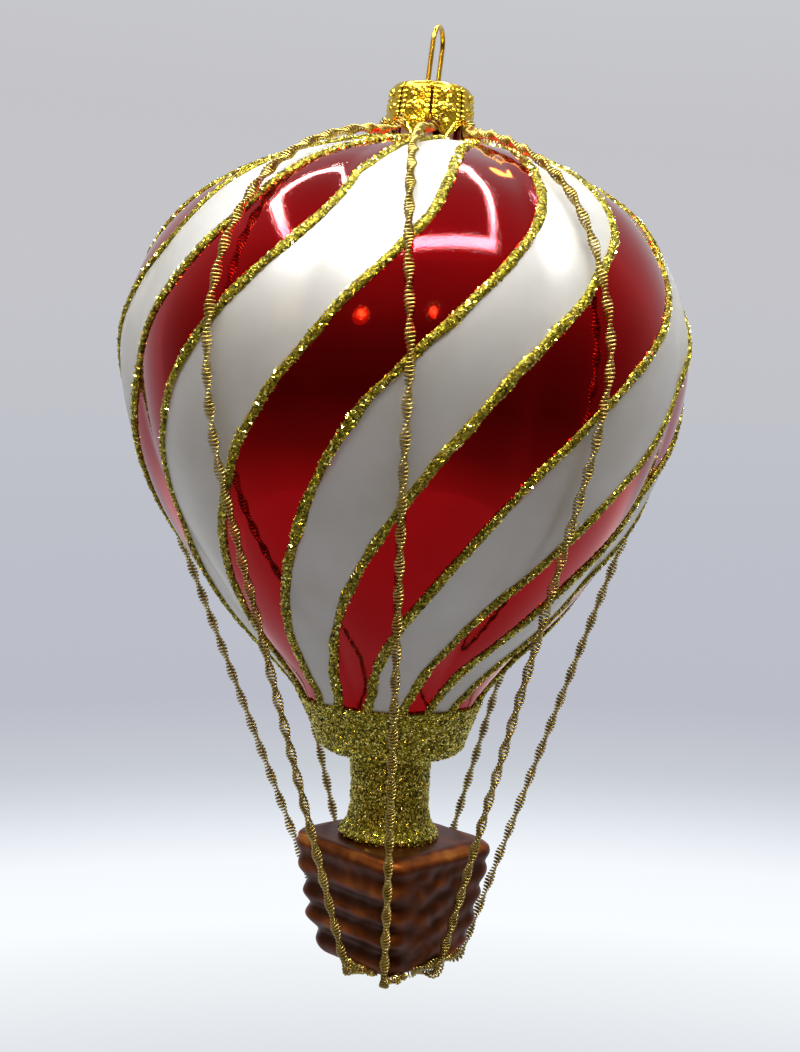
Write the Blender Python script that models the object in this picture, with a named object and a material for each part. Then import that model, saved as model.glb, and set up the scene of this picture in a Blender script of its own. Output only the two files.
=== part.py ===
"""A silvered glass tree ornament in the form of a hot air balloon, hanging on a wire loop.

Lengths here are in millimetres and become metres as each mesh is made. A level is a height
above the pole, the point where the glass meets the rim of its cap. The row's origin is the
inner top of the wire loop, where a hook would hold it. The glass was blown a little crooked,
so its pieces hang from one empty that leans, and a spine table says how far each lies aside.
"""

import bmesh
import bpy
from math import atan2, cos, degrees, hypot, pi, radians, sin
from mathutils import Vector

MM = 0.001
GAP = 0.3  # kept between pieces that touch

# The wire loop, whose inner top is the origin
WIRE_RADIUS = 0.4
LOOP_HALF_WIDTH = 3.0
LOOP_DROP = 9.05  # from the loop's inner top down to the cap's top
LOOP_TURN_DEG = 15.0  # the loop's plane, from +Y towards +X
LEG_DEPTH = 9.0
LEG_SPLAY = 0.55
PIVOT_ASIDE = -0.45  # the cap hangs this far along X from the loop's top

# The cap
CAP_HEIGHT = 8.5
CAP_TOP_LEVEL = 8.9
CAP_WALL = 0.4
CAP_PETALS = 8
PETAL_COLUMNS = 6
PETAL_NOTCH = 2.6
LEG_HOLE_RADIUS = 0.85
# Columns: height under the cap's top, radius
CAP_ROWS = (
    (0.0, 2.4),
    (0.0, 4.9),
    (-0.25, 5.7),
    (-0.9, 6.2),
    (-1.8, 6.4),
    (-5.2, 6.75),
    (-CAP_HEIGHT, 7.05),
)

# The glass
GLASS_LEAN_DEG = 1.6
GLASS_WALL = 1.0
LOBES = 8
LOBE_COLUMNS = 8
LOBE_DEPTH = 1.3
# Columns: level, radius over a lobe's crest
ENVELOPE_ROWS = (
    (7.6, 5.2),
    (1.0, 5.2),
    (0.15, 5.6),
    (-0.3, 7.4),
    (-1.0, 12.4),
    (-2.0, 17.4),
    (-4.5, 24.6),
    (-7.5, 30.4),
    (-12.0, 36.1),
    (-19.0, 41.1),
    (-27.0, 44.0),
    (-34.0, 44.8),
    (-42.0, 43.8),
    (-50.0, 41.5),
    (-58.0, 37.8),
    (-66.0, 32.8),
    (-74.0, 26.7),
    (-81.0, 20.2),
    (-85.5, 16.3),
    (-88.95, 14.1),
)
MOUTH_LEVEL = ENVELOPE_ROWS[-1][0]
# Columns: level, how far the glass's middle lies along X from the line under the pivot
SPINE = (
    (CAP_TOP_LEVEL, 0.0),
    (1.0, -0.35),
    (-4.0, -1.15),
    (-20.0, -1.8),
    (-40.0, -2.15),
    (-60.0, -2.2),
    (-80.0, -2.1),
    (-97.0, -1.1),
    (-104.0, -0.85),
    (-110.5, -0.8),
    (-112.0, 0.15),
    (-131.0, 0.3),
)

# The glitter cup under the glass's mouth, and the column under the cup
# Columns: level, radius
CUP_ROWS = (
    (MOUTH_LEVEL - 0.35, 14.15),
    (-92.2, 13.05),
    (-95.2, 12.0),
    (-96.3, 11.2),
    (-96.9, 9.8),
    (-97.0, 7.6),
    (-97.0, 5.2),
)
COLUMN_ROWS = (
    (-97.35, 6.5),
    (-99.5, 6.45),
    (-103.0, 6.3),
    (-106.5, 6.4),
    (-108.6, 6.9),
    (-109.7, 7.7),
    (-110.3, 8.1),
    (-110.7, 7.9),
)
CUP_WALL = 1.0
COLUMN_WALL = 1.1
ROUND_COLUMNS = 32

# The basket, a rounded square with a corner towards the viewer
BASKET_WALL = 1.2
BASKET_HOLE = 5.2
BASKET_CORNER_RADIUS = 3.0
CORNER_STEPS = 6
# Columns: level, half of the diagonal
BASKET_ROWS = (
    (-111.0, 10.5),
    (-111.0, 14.5),
    (-111.6, 15.4),
    (-112.9, 15.9),
    (-114.6, 15.2),
    (-116.8, 15.4),
    (-118.9, 13.9),
    (-121.0, 14.5),
    (-122.9, 13.2),
    (-124.9, 13.9),
    (-127.0, 11.8),
    (-129.0, 12.1),
    (-130.4, 11.2),
    (-130.95, 9.8),
    (-131.1, 7.0),
)
BASKET_FLOOR_LEVEL = BASKET_ROWS[-1][0]

# The glitter lines between the stripes
LINE_WIDTH = 1.4
LINE_HEIGHT = 0.45
LINE_START_RADIUS = 8.6
# Columns: level, azimuth in degrees that the first line has turned to
TWIST = (
    (0.0, 74.0),
    (-1.0, 58.0),
    (-3.5, 40.0),
    (-8.0, 32.5),
    (-14.0, 28.0),
    (-20.0, 20.5),
    (-35.0, 1.0),
    (-46.0, -11.0),
    (-60.0, -22.5),
    (-74.0, -34.5),
    (-89.0, -47.5),
)
# Levels of the columns in the next table
SPACING_LEVELS = (-10.0, -45.0, -88.0)
# Columns: degrees from the first line at the shoulder, at the middle and at the mouth
LINE_SPACING = (
    (0.0, 0.0, 0.0),
    (20.0, 21.0, 15.0),
    (50.0, 44.0, 34.0),
    (77.0, 70.0, 54.0),
    (100.0, 92.0, 71.0),
    (122.0, 114.0, 88.0),
    (144.0, 136.0, 113.0),
    (165.0, 159.0, 140.0),
    (188.0, 184.0, 168.0),
    (208.0, 206.0, 193.0),
    (231.0, 230.0, 221.0),
    (251.0, 252.0, 245.0),
    (273.0, 276.0, 272.0),
    (294.0, 299.0, 298.0),
    (314.0, 318.0, 318.0),
    (336.0, 341.0, 339.0),
)

# The crimped wire strands
STRAND_RADIUS = 0.6
STRAND_LIFT = 1.5  # of the strand's middle over the glass
STRAND_START_RADIUS = 5.6
STRAND_SETTLE = 35.0  # how far down the glass a strand reaches its second azimuth
STRAND_END_RADIUS = 2.7
STRAND_BEND = 1.5
# Columns: name, azimuth at the cap, on the glass and at the basket's lower edge
STRANDS = (
    ("front", -3.0, 1.0, -2.5),
    ("front_right", 35.0, 37.5, 51.0),
    ("right", 103.0, 103.0, 101.0),
    ("back_right", 136.0, 136.0, 150.0),
    ("back", 180.0, 180.0, 180.0),
    ("back_left", -142.0, -142.0, -152.0),
    ("left", -101.0, -101.0, -119.0),
    ("front_left", -37.0, -35.5, -41.0),
)

# The dab of glue that holds the strands' ends under the basket
# Columns: level, radius
DAB_ROWS = (
    (BASKET_FLOOR_LEVEL - GAP, 1.0),
    (BASKET_FLOOR_LEVEL - 0.6, 1.7),
    (BASKET_FLOOR_LEVEL - 1.3, 1.5),
    (BASKET_FLOOR_LEVEL - 1.8, 0.8),
)


def read_table(rows, level):
    """Returns a table's second column at a level, on straight lines between its rows."""
    if level > rows[0][0]:
        return rows[0][1]
    for (high, at_high), (low, at_low) in zip(rows, rows[1:]):
        if level >= low:
            return at_high + (at_low - at_high) * (high - level) / (high - low)
    return rows[-1][1]


def smooth_rows(rows, steps):
    """Returns the rows with steps - 1 more between each two, on a Catmull-Rom curve through them."""
    points = [Vector(row) for row in rows]
    points = [2 * points[0] - points[1], *points, 2 * points[-1] - points[-2]]
    smooth = []
    for before, start, end, after in zip(points, points[1:], points[2:], points[3:]):
        for step in range(steps):
            t = step / steps
            smooth.append(
                start
                + 0.5 * t * (end - before)
                + t * t * (before - 2.5 * start + 2 * end - 0.5 * after)
                + 0.5 * t * t * t * (after - before + 3 * (start - end))
            )
    return smooth + [points[-2]]


def bearing(azimuth):
    """Returns the level direction at an azimuth in degrees, which is 0 at -Y and 90 at +X."""
    return Vector((sin(radians(azimuth)), -cos(radians(azimuth)), 0.0))


def in_glass(radius, azimuth, level):
    """Returns a point round the glass's spine, measured from the pivot."""
    middle = Vector((read_table(SPINE, level), 0.0, level - CAP_TOP_LEVEL))
    return middle + radius * bearing(azimuth)


def lobed(radius, azimuth):
    """Returns a crest radius cut back by the grooves between the lobes, which fade at the ends."""
    groove = 1.0 - abs(cos(radians(azimuth * LOBES / 2)))
    fade = min(1.0, max(0.0, (radius - 14.0) / 12.0))
    return radius - LOBE_DEPTH * fade * groove**1.5


def material(name, colour, roughness, metallic=0.0):
    """Returns a new material of one colour."""
    made = bpy.data.materials.new(name)
    made.use_nodes = True
    shader = made.node_tree.nodes["Principled BSDF"]
    shader.inputs["Base Color"].default_value = (*colour, 1.0)
    shader.inputs["Roughness"].default_value = roughness
    shader.inputs["Metallic"].default_value = metallic
    made.diffuse_color = (*colour, 1.0)
    return made


def add_object(name, data, finish, parent):
    """Adds an object with its material under its parent empty."""
    data.materials.append(finish)
    made = bpy.data.objects.new(name, data)
    made.parent = parent
    bpy.context.collection.objects.link(made)
    return made


def loft(name, rings, finish, parent, close_start=False, close_end=False):
    """Adds a mesh through rings of points, given in millimetres, with its ends open or closed."""
    form = bmesh.new()
    loops = [[form.verts.new(point * MM) for point in ring] for ring in rings]
    for upper, lower in zip(loops, loops[1:]):
        for i in range(len(upper)):
            form.faces.new((upper[i - 1], upper[i], lower[i], lower[i - 1]))
    if close_start:
        form.faces.new(loops[0])
    if close_end:
        form.faces.new(reversed(loops[-1]))
    bmesh.ops.recalc_face_normals(form, faces=form.faces)
    mesh = bpy.data.meshes.new(name)
    form.to_mesh(mesh)
    form.free()
    mesh.shade_smooth()
    mesh.set_sharp_from_angle(angle=radians(40))
    return add_object(name, mesh, finish, parent)


def give_wall(solid, thickness):
    """Gives an open skin a wall that grows inwards from it."""
    wall = solid.modifiers.new("wall", "SOLIDIFY")
    wall.thickness = thickness * MM
    wall.offset = -1.0
    wall.use_even_offset = True
    return wall


def spread_azimuths(count):
    return [360.0 * i / count for i in range(count)]


def glass_rings(rows, columns, shape=lambda radius, azimuth: radius):
    """Returns rings of points round the spine from rows of level and radius."""
    azimuths = spread_azimuths(columns)
    return [
        [in_glass(shape(radius, azimuth), azimuth, level) for azimuth in azimuths]
        for level, radius in rows
    ]


def add_envelope(finish, parent):
    """Adds the blown envelope, a lobed shell that is open at its neck and at its mouth."""
    rings = glass_rings(ENVELOPE_ROWS, LOBES * LOBE_COLUMNS, lobed)
    give_wall(loft("glass_envelope", rings, finish, parent), GLASS_WALL)


def add_cup(finish, parent):
    cup = loft("glitter_cup", glass_rings(CUP_ROWS, ROUND_COLUMNS), finish, parent)
    give_wall(cup, CUP_WALL)


def add_column(finish, parent):
    column = loft("burner_column", glass_rings(COLUMN_ROWS, ROUND_COLUMNS), finish, parent)
    give_wall(column, COLUMN_WALL)


def basket_section(half_diagonal, corner_radius):
    """Returns the azimuths and reaches of a rounded square whose corners lie on the axes."""
    section = []
    for corner in range(4):
        centre = bearing(90.0 * corner) * (half_diagonal - corner_radius)
        for step in range(CORNER_STEPS + 1):
            turn = 90.0 * corner - 45.0 + 90.0 * step / CORNER_STEPS
            point = centre + bearing(turn) * corner_radius
            section.append((degrees(atan2(point.x, -point.y)), point.length))
    return section


def basket_ring(level, half_diagonal):
    section = basket_section(half_diagonal, BASKET_CORNER_RADIUS)
    return [in_glass(reach, azimuth, level) for azimuth, reach in section]


def add_basket(finish, parent):
    """Adds the hollow basket, open where the column stands on it."""
    azimuths = [azimuth for azimuth, _ in basket_section(*BASKET_ROWS[0][1:], BASKET_CORNER_RADIUS)]
    top_level = BASKET_ROWS[0][0]
    rings = [[in_glass(BASKET_HOLE, azimuth, top_level) for azimuth in azimuths]]
    rings += [basket_ring(*row) for row in BASKET_ROWS]
    rings.append([in_glass(1.5, azimuth, BASKET_FLOOR_LEVEL) for azimuth in azimuths])
    give_wall(loft("basket", rings, finish, parent, close_end=True), BASKET_WALL)


def basket_reach(azimuth, half_diagonal):
    """Returns how far the basket's section reaches at an azimuth."""
    section = basket_section(half_diagonal, BASKET_CORNER_RADIUS)
    nearest = sorted(section, key=lambda row: abs((row[0] - azimuth + 180.0) % 360.0 - 180.0))
    return max(nearest[0][1], nearest[1][1])


def line_ring(level, radius, azimuth, slope):
    """Returns the four corners of a glitter line's section across a level."""
    half_width = 0.5 * LINE_WIDTH * hypot(1.0, slope)
    corners = []
    for side, lift in ((-1, GAP), (1, GAP), (1, GAP + LINE_HEIGHT), (-1, GAP + LINE_HEIGHT)):
        at = azimuth + side * degrees(half_width / radius)
        steep = read_table(NORMALS, level)
        corners.append(in_glass(lobed(radius, at) + lift * cos(steep), at, level + lift * sin(steep)))
    return corners


def outline_normals(rows):
    """Returns rows of level and the angle by which the skin's outward normal looks up."""
    rows = [row for row in rows if row[0] < 0.0]
    normals = []
    for before, here, after in zip(rows, rows[1:], rows[2:]):
        along = after - before
        normals.append((here[0], atan2(along[1], -along[0])))
    return [(rows[0][0], normals[0][1]), *normals, (rows[-1][0], normals[-1][1])]


OUTLINE = smooth_rows(ENVELOPE_ROWS, 2)
NORMALS = outline_normals(OUTLINE)
TURNS = smooth_rows(TWIST, 4)


def line_azimuth(spacing, level):
    """Returns a glitter line's azimuth at a level, from its row of the spacing table."""
    return read_table(TURNS, level) + read_table(tuple(zip(SPACING_LEVELS, spacing)), level)


def add_glitter_lines(finish, parent):
    """Adds a raised line along each edge between two stripes, twisting down the envelope."""
    stations = [row for row in OUTLINE if row[1] > LINE_START_RADIUS and row[0] < 0.0]
    for number, spacing in enumerate(LINE_SPACING, start=1):
        rings = []
        for above, here, below in zip([stations[0], *stations], stations, [*stations[1:], stations[-1]]):
            turned = line_azimuth(spacing, above[0]) - line_azimuth(spacing, below[0])
            slope = here[1] * radians(turned) / (above - below).length
            rings.append(line_ring(*here, line_azimuth(spacing, here[0]), slope))
        loft(f"glitter_line_{number:02d}", rings, finish, parent, True, True)


def strand_on_glass(cap_azimuth, glass_azimuth, target):
    """Returns the points of a strand from the cap over the glass, to where it leaves for the target."""
    notch = 360.0 / CAP_PETALS * round(cap_azimuth * CAP_PETALS / 360.0)
    points = [in_glass(STRAND_START_RADIUS, notch, 1.25)]
    for level, radius in OUTLINE:
        if level > -0.2 or radius < 7.0:
            continue
        share = max(0.0, 1.0 + level / STRAND_SETTLE)
        azimuth = glass_azimuth + (cap_azimuth - glass_azimuth) * share
        azimuth = notch + (azimuth - notch) * min(1.0, max(0.0, (radius - 9.0) / 6.0))
        steep = read_table(NORMALS, level)
        reach = lobed(radius, azimuth) + STRAND_LIFT * cos(steep)
        point = in_glass(reach, azimuth, level + STRAND_LIFT * sin(steep))
        if level < -45.0:
            along = (point - points[-1]).normalized()
            left = (target - point).normalized()
            if along.cross(left).dot(bearing(azimuth + 90.0)) < 0.0:
                break
        points.append(point)
    return points


def strand_under_basket(azimuth):
    """Returns the points of a strand round the basket's lower edge and in to the glue."""
    edge = basket_reach(azimuth, BASKET_ROWS[-4][1])
    clear = GAP + STRAND_RADIUS
    floor = BASKET_FLOOR_LEVEL - clear
    points = []
    for turn in (20.0, 45.0, 70.0):
        out = edge + clear - STRAND_BEND * (1.0 - cos(radians(turn)))
        points.append(in_glass(out, azimuth, floor + STRAND_BEND * (1.0 - sin(radians(turn)))))
    points.append(in_glass(edge + clear - 2 * STRAND_BEND, azimuth, floor))
    points.append(in_glass(STRAND_END_RADIUS, azimuth, floor))
    return points


def add_tube(name, points, radius, finish, parent):
    """Adds a round wire through points given in millimetres."""
    curve = bpy.data.curves.new(name, "CURVE")
    curve.dimensions = "3D"
    curve.bevel_depth = radius * MM
    curve.bevel_resolution = 2
    curve.use_fill_caps = True
    spline = curve.splines.new("POLY")
    spline.points.add(len(points) - 1)
    for spline_point, point in zip(spline.points, points):
        spline_point.co = (*(point * MM), 1.0)
    return add_object(name, curve, finish, parent)


def add_strands(finish, parent):
    """Adds the strands that hang the basket from the cap."""
    for name, cap_azimuth, glass_azimuth, basket_azimuth in STRANDS:
        under = strand_under_basket(basket_azimuth)
        over = strand_on_glass(cap_azimuth, glass_azimuth, under[0])
        middle = [over[-1].lerp(under[0], part) for part in (0.2, 0.4, 0.6, 0.8)]
        add_tube(f"strand_{name}", over + middle + under, STRAND_RADIUS, finish, parent)


def add_cap(finish, parent):
    """Adds the pressed cap, with petals round its rim and two holes for the loop's legs."""
    azimuths = spread_azimuths(CAP_PETALS * PETAL_COLUMNS)
    rings = []
    for height, radius in CAP_ROWS:
        ring = []
        for azimuth in azimuths:
            half_petal = 180.0 / CAP_PETALS
            from_notch = abs((azimuth + half_petal) % (2 * half_petal) - half_petal)
            rise = PETAL_NOTCH * (1.0 - from_notch / half_petal) if height == -CAP_HEIGHT else 0.0
            ring.append(radius * bearing(azimuth) + Vector((0.0, 0.0, height + rise)))
        rings.append(ring)
    cap = loft("cap", rings, finish, parent, close_start=True)
    give_wall(cap, CAP_WALL)
    for side in (-1, 1):
        bpy.ops.mesh.primitive_cylinder_add(
            vertices=16,
            radius=LEG_HOLE_RADIUS * MM,
            depth=6 * CAP_WALL * MM,
        )
        cutter = bpy.context.object
        cutter.name = f"leg_hole_{side}"
        cutter.parent = parent
        cutter.location = side * LOOP_HALF_WIDTH * MM * HINGE_AXIS
        cutter.display_type = "WIRE"
        cutter.hide_render = True
        cut = cap.modifiers.new("leg_hole", "BOOLEAN")
        cut.operation = "DIFFERENCE"
        cut.object = cutter


HINGE_AXIS = Vector((sin(radians(LOOP_TURN_DEG)), cos(radians(LOOP_TURN_DEG)), 0.0))


def add_loop(finish, parent):
    """Adds the wire loop, whose two legs spring apart inside the glass's neck."""
    arc_level = WIRE_RADIUS - LOOP_HALF_WIDTH
    legs = [
        (LOOP_HALF_WIDTH + LEG_SPLAY, -LOOP_DROP - LEG_DEPTH),
        (LOOP_HALF_WIDTH + 0.5 * LEG_SPLAY, -LOOP_DROP - 0.5 * LEG_DEPTH),
        (LOOP_HALF_WIDTH, -LOOP_DROP - 1.0),
        (LOOP_HALF_WIDTH, -LOOP_DROP + 1.0),
        (LOOP_HALF_WIDTH, 0.5 * (arc_level - LOOP_DROP)),
    ]
    arc = [
        (LOOP_HALF_WIDTH * cos(pi * step / 14), arc_level + LOOP_HALF_WIDTH * sin(pi * step / 14))
        for step in range(15)
    ]
    path = legs + arc + [(-aside, height) for aside, height in reversed(legs)]
    points = []
    for aside, height in path:
        lean = PIVOT_ASIDE * min(1.0, -height / LOOP_DROP)
        points.append(aside * HINGE_AXIS + Vector((lean, 0.0, height)))
    add_tube("hanging_loop", points, WIRE_RADIUS, finish, parent)


def add_empty(name, location, parent=None):
    made = bpy.data.objects.new(name, None)
    made.location = location * MM
    made.parent = parent
    bpy.context.collection.objects.link(made)
    return made


def build():
    """Builds every piece of the ornament."""
    for old in list(bpy.data.objects):
        bpy.data.objects.remove(old)
    gold = material("gold_tinplate", (0.78, 0.52, 0.08), 0.25, 1.0)
    wire = material("gold_wire", (0.72, 0.6, 0.28), 0.3, 1.0)
    lacquer = material("red_lacquered_glass", (0.45, 0.01, 0.015), 0.08)
    glitter = material("gold_glitter", (0.5, 0.44, 0.12), 0.55, 0.6)
    coated = material("glitter_coated_glass", (0.46, 0.4, 0.1), 0.55, 0.6)
    brown = material("brown_lacquered_glass", (0.1, 0.03, 0.012), 0.2)
    glue = material("clear_glue", (0.6, 0.5, 0.35), 0.3)

    hanger = add_empty("hanger", Vector((0.0, 0.0, 0.0)))
    pivot = add_empty("pivot", Vector((PIVOT_ASIDE, 0.0, -LOOP_DROP)), hanger)
    glass = add_empty("glass", Vector((0.0, 0.0, 0.0)), pivot)
    glass.rotation_euler = (0.0, -radians(GLASS_LEAN_DEG), 0.0)

    add_loop(wire, hanger)
    add_cap(gold, pivot)
    add_envelope(lacquer, glass)
    add_cup(coated, glass)
    add_column(coated, glass)
    add_basket(brown, glass)
    add_glitter_lines(glitter, glass)
    add_strands(wire, glass)
    dab = glass_rings(DAB_ROWS, 12)
    loft("glue_dab", dab, glue, glass, close_start=True, close_end=True)


build()
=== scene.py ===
"""The looks of a silvered glass tree ornament in the form of a hot air balloon.

Lengths here are in millimetres and become metres as each mesh is made. A level is a height
above the pole, the point where the glass meets the rim of its cap. An azimuth is in degrees,
0 towards the viewer at -Y and 90 at +X. The glass hangs from the pivot with a slight lean.
"""

from math import atan2, cos, degrees, exp, hypot, pi, radians, sin, sqrt

import bmesh
import bpy
from mathutils import Matrix, Quaternion, Vector, noise


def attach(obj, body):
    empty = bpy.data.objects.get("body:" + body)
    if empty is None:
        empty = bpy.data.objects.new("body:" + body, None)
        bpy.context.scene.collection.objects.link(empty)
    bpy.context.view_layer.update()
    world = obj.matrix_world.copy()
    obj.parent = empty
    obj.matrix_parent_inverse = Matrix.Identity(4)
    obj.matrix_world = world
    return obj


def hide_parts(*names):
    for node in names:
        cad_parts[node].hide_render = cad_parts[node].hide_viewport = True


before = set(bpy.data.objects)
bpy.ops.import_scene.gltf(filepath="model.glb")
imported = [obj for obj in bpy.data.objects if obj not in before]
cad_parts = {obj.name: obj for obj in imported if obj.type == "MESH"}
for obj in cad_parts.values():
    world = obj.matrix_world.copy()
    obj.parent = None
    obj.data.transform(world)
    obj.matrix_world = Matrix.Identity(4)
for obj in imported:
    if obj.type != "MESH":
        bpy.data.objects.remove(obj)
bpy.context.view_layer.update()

MM = 0.001
DOWN = Vector((0.0, 0.0, -1.0))
SHARP_FROM_DEG = 60.0
MERGE_WITHIN = 0.0005  # distance at which two points of a form become one

# The wire loop, whose inner top is the origin
WIRE_RADIUS = 0.4
LOOP_HALF_WIDTH = 3.0
LOOP_DROP = 9.05  # from the loop's inner top down to the cap's top
LOOP_TURN_DEG = 15.0
LEG_DEPTH = 9.0
LEG_SPLAY = 0.55
LEG_STRAIGHT = 1.0  # of a leg, above and under the cap's top
ARC_STEPS = 40
PIVOT = Vector((-0.45, 0.0, -LOOP_DROP))

# The cap
CAP_HEIGHT = 8.5
CAP_TOP_LEVEL = 8.9
CAP_WALL = 0.35
CAP_PETALS = 8
PETAL_NOTCH = 2.6
PETAL_START = 5.2  # under the cap's top
PETAL_CURVE = 1.4
CAP_SEGMENTS = 384
CAP_BEAD_PITCH = 0.78
# Columns: height under the cap's top, radius
CAP_ROWS = (
    (0.0, 2.4), (0.0, 5.3), (-0.2, 5.95), (-0.7, 6.35), (-1.6, 6.55), (-5.2, 6.8),
    (-CAP_HEIGHT, 7.05),
)
CAP_TOP_STEPS = 5
CAP_SIDE_STEPS = 26
CAP_INSIDE_TOP_RADIUS = 5.2
# What is stamped in each panel: a depth is taken from the cap's top, and a line is a ridge's half width
PANEL_HALF_WIDTH = 2.6
SHOULDER_DEPTH = 0.8
SEAM_SHARE = 0.95  # of a panel's half width
SEAM_SINK = 0.3
BARS_START = 0.62  # as a share of a panel's half width
BARS_WIDTH = 0.33
BAR_HEIGHT = 0.32
EMBOSS_HEIGHT = 0.3
RING_DEPTH = 1.8
RING_RADIUS = 0.5
RING_LINE = 0.17
OVAL_DEPTH = 3.9
OVAL_ASIDE = 0.7
OVAL_STRETCH = 1.6
OVAL_RADIUS = 0.36
OVAL_LINE = 0.15
STEM_DEPTH = 3.7
STEM_HALF_LENGTH = 0.7
STEM_LINE = 0.16
DOT_DEPTH = 6.2
DOT_RADIUS = 0.45
VEIN_START = 6.4
VEIN_END = 8.4
VEIN_SLANT = 0.75
VEIN_LINE = 0.14
VEIN_HEIGHT = 0.2
GROUND_HEIGHT = 0.06
GROUND_FINENESS = 8.0  # radians to a millimetre
# The lacquer's tone from 0 to 1 on flat metal, and the painted highlight that a millimetre of raised relief
# adds to it, taken off again as painted shade where the metal is sunk
CAP_TONE = 0.5
CAP_RELIEF_PAINTED_SHADE = 2.0

# The glass
GLASS_LEAN = Matrix.Rotation(-radians(1.6), 3, "Y")
GLASS_WALL = 1.0
LOBES = 8
LOBE_DEPTH = 1.3
LOBE_TURN = 3.5  # azimuth of the front lobe's crest
LOBE_FLATNESS = 1.5  # of a lobe's crest against the fold
LOBE_FADE_START = 14.0  # radius at which the folds begin
LOBE_FADE_REACH = 12.0  # from there to where they are at their deepest
CREASE_SOFTNESS = 0.1  # of the fold between two lobes, as a share of a lobe's half width
STRIPES = 16
STRIPE_COLUMNS = 24
STRIPE_MAP_LENGTH = 100.0  # down the glass, from the pole
WAVE_HEIGHT = 0.05  # of the unevenness that blowing leaves
WAVE_LENGTH = 16.0
RIB_HEIGHT = 0.06  # of the soft upright ribs that the mould leaves
RIBS_ROUND = 5.0
RIB_LENGTH = 40.0
WAVE_FADE_RADIUS = 20.0  # inside which the unevenness dies down
# Columns: level, radius over a lobe's crest
ENVELOPE_ROWS = (
    (7.6, 5.2), (1.0, 5.2), (0.15, 5.6), (-0.3, 7.4), (-1.0, 12.4), (-2.0, 17.4), (-4.5, 24.6),
    (-7.5, 30.4), (-12.0, 36.1), (-19.0, 41.1), (-27.0, 44.0), (-34.0, 44.8), (-42.0, 43.8),
    (-50.0, 41.5), (-58.0, 37.8), (-66.0, 32.8), (-74.0, 26.7), (-81.0, 20.2), (-85.5, 16.3),
    (-88.95, 14.1),
)
ENVELOPE_STEPS = 8
# Columns: level, how far the glass's middle lies along X from the line under the pivot
SPINE = (
    (CAP_TOP_LEVEL, 0.0), (1.0, -0.35), (-4.0, -1.15), (-20.0, -1.8), (-40.0, -2.15), (-60.0, -2.2),
    (-80.0, -2.1), (-97.0, -1.1), (-104.0, -0.85), (-110.5, -0.8), (-112.0, 0.15), (-131.0, 0.3),
)

# The glitter cup and the column
ROUND_SEGMENTS = 96
COAT_ROUGHNESS = 0.22  # how far the glitter's glue swells and sinks
COAT_GRAIN = 1.3
COATED_STEPS = 5
CUP_SEED = 21
COLUMN_SEED = 22
# Columns: level, radius
CUP_ROWS = (
    (-88.3, 14.95), (-89.3, 14.45), (-92.2, 13.15), (-95.2, 12.0), (-96.3, 11.2), (-96.9, 9.8),
    (-97.0, 7.6), (-97.0, 5.2),
)
COLUMN_ROWS = (
    (-97.1, 6.5), (-99.5, 6.45), (-103.0, 6.3), (-106.5, 6.4), (-108.6, 6.9), (-109.7, 7.7),
    (-110.3, 8.1), (-110.9, 7.8),
)

# The basket, a rounded square with a corner towards the viewer
BASKET_SEGMENTS = 240
BASKET_CORNER_RADIUS = 3.0
BASKET_FLOOR_LEVEL = -131.1
BASKET_RIM_LEVEL = -111.6
BASKET_TOP_LEVEL = -111.0
BASKET_TOP_RADII = (5.2, 8.0, 11.0, 13.0)
BASKET_WALL = 1.2
BASKET_ROUND_RADIUS = 5.5  # inside which the top and the floor stay round
BASKET_EDGE_RADIUS = 11.0  # outside which the rim gets a painted highlight
BASKET_STEPS = 8
LOWEST_ROLL = 12.1  # half of its diagonal
ROLL_PITCH = 4.0
WEAVE_COLUMN = 4.4
WEAVE_DEPTH = 0.3
WEAVE_TOP_LEVEL = -113.6
WEAVE_FADE = 1.5
WEAVE_HALF_WIDTH = 9.0  # of a face
BRUSH_LENGTH = 2.5
BRUSH_DEPTH = 0.12
# The lacquer's tone from 0 to 1, then the painted highlight that a millimetre of relief adds and the painted
# shade it takes off in hollows, the tone of the brush streaks, and the painted highlight on the rim
LACQUER_TONE = 0.45
RELIEF_PAINTED_SHADE = 0.7
BRUSH_TONE = 0.25
RIM_PAINTED_HIGHLIGHT = 0.4
# Columns: level, half of the diagonal
BASKET_ROWS = (
    (BASKET_TOP_LEVEL, 14.5), (-111.6, 15.4), (-112.9, 15.9), (-114.6, 15.2), (-116.8, 15.4),
    (-118.9, 13.9), (-121.0, 14.5), (-122.9, 13.2), (-124.9, 13.9), (-127.0, 11.8),
    (-129.0, LOWEST_ROLL), (-130.4, 11.2), (-130.95, 9.8), (BASKET_FLOOR_LEVEL, 7.0),
)
# Columns: level, half of the diagonal of the inside, from its floor up to the opening
BASKET_INSIDE = (
    (BASKET_FLOOR_LEVEL + BASKET_WALL, 0.0), (BASKET_FLOOR_LEVEL + BASKET_WALL, 8.0),
    (BASKET_TOP_LEVEL - BASKET_WALL, 12.0), (BASKET_TOP_LEVEL - BASKET_WALL, 5.2),
)
# Columns: level, half of the diagonal of the same basket without its rolls
BASKET_TAPER = (
    (BASKET_TOP_LEVEL, 14.5), (-112.9, 15.9), (-114.6, 15.4), (-118.9, 14.6), (-124.9, 13.4),
    (-129.0, 12.0), (-130.4, 11.2), (BASKET_FLOOR_LEVEL, 7.0),
)

# The glitter lines between the stripes
LINE_HALF_WIDTH = 0.72
LINE_HEIGHT = 0.45
LINE_SINK = 0.15
LINE_START_RADIUS = 8.6
LINE_SIDES = 10
LINE_SWELL = 0.35
LINE_DRIFT = 0.3
# Columns: level, azimuth that the first line has turned to
TWIST = (
    (0.0, 74.0), (-1.0, 58.0), (-3.5, 40.0), (-8.0, 32.5), (-14.0, 28.0), (-20.0, 20.5),
    (-35.0, 1.0), (-46.0, -11.0), (-60.0, -22.5), (-74.0, -34.5), (-89.0, -47.5),
)
TWIST_STEPS = 4
# Levels of the columns in the next table
SPACING_LEVELS = (-10.0, -45.0, -88.0)
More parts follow.
